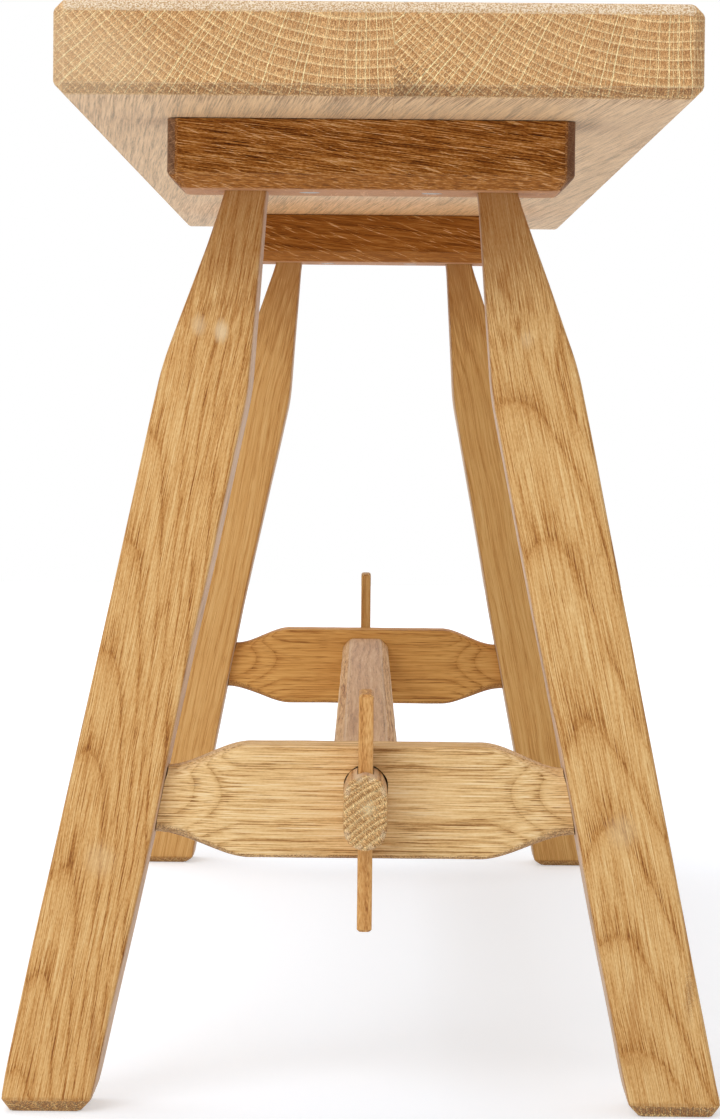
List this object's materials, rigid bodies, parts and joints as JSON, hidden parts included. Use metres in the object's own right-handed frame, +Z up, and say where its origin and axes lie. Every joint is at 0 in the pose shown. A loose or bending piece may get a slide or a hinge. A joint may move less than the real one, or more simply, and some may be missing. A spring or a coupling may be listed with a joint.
{
  "type": "bench",
  "caption": "Narrow wooden bench: jointed plank seat on splayed trestles, tied by a long stretcher whose through tenons are locked by loose wedge keys.",
  "frame": {"origin": "on the floor, midway between the four feet, which is the bottom centre of the whole bench", "axes": "+Z up, +Y along the bench from the front trestle to the rear one, +X to the right as seen from the front end"},
  "size_m": [0.2998, 1, 0.45],
  "materials": {
    "seat_oak": "pale oiled oak",
    "batten_oak": "dark brown oiled oak",
    "leg_oak": "golden oiled oak",
    "front_cross_oak": "light oiled oak",
    "rear_cross_oak": "brown oiled oak",
    "long_oak": "greyish oiled oak",
    "key_oak": "orange-brown oiled oak",
    "wedge_oak": "brown oak, unfinished",
    "screw_steel": "bright zinc"
  },
  "bodies": {
    "bench": {"seat_board_left": "seat_oak", "seat_board_right": "seat_oak", "batten_front": "batten_oak", "batten_rear": "batten_oak", "leg_front_left": "leg_oak", "leg_front_right": "leg_oak", "leg_rear_left": "leg_oak", "leg_rear_right": "leg_oak", "tenon_wedge_front_left": "wedge_oak", "tenon_wedge_front_right": "wedge_oak", "tenon_wedge_rear_left": "wedge_oak", "tenon_wedge_rear_right": "wedge_oak", "cross_stretcher_front": "front_cross_oak", "cross_stretcher_rear": "rear_cross_oak", "long_stretcher": "long_oak", "screw_front_left": "screw_steel", "screw_front_right": "screw_steel", "screw_rear_left": "screw_steel", "screw_rear_right": "screw_steel"},
    "front_key": {"key_front": "key_oak"},
    "rear_key": {"key_rear": "key_oak"}
  },
  "joints": [
    {"name": "front_key_slide", "type": "slide", "parent": "bench", "child": "front_key", "axis": [0, 0, 1], "range_m": [0, 0.06]},
    {"name": "rear_key_slide", "type": "slide", "parent": "bench", "child": "rear_key", "axis": [0, 0, 1], "range_m": [0, 0.06]}
  ]
}
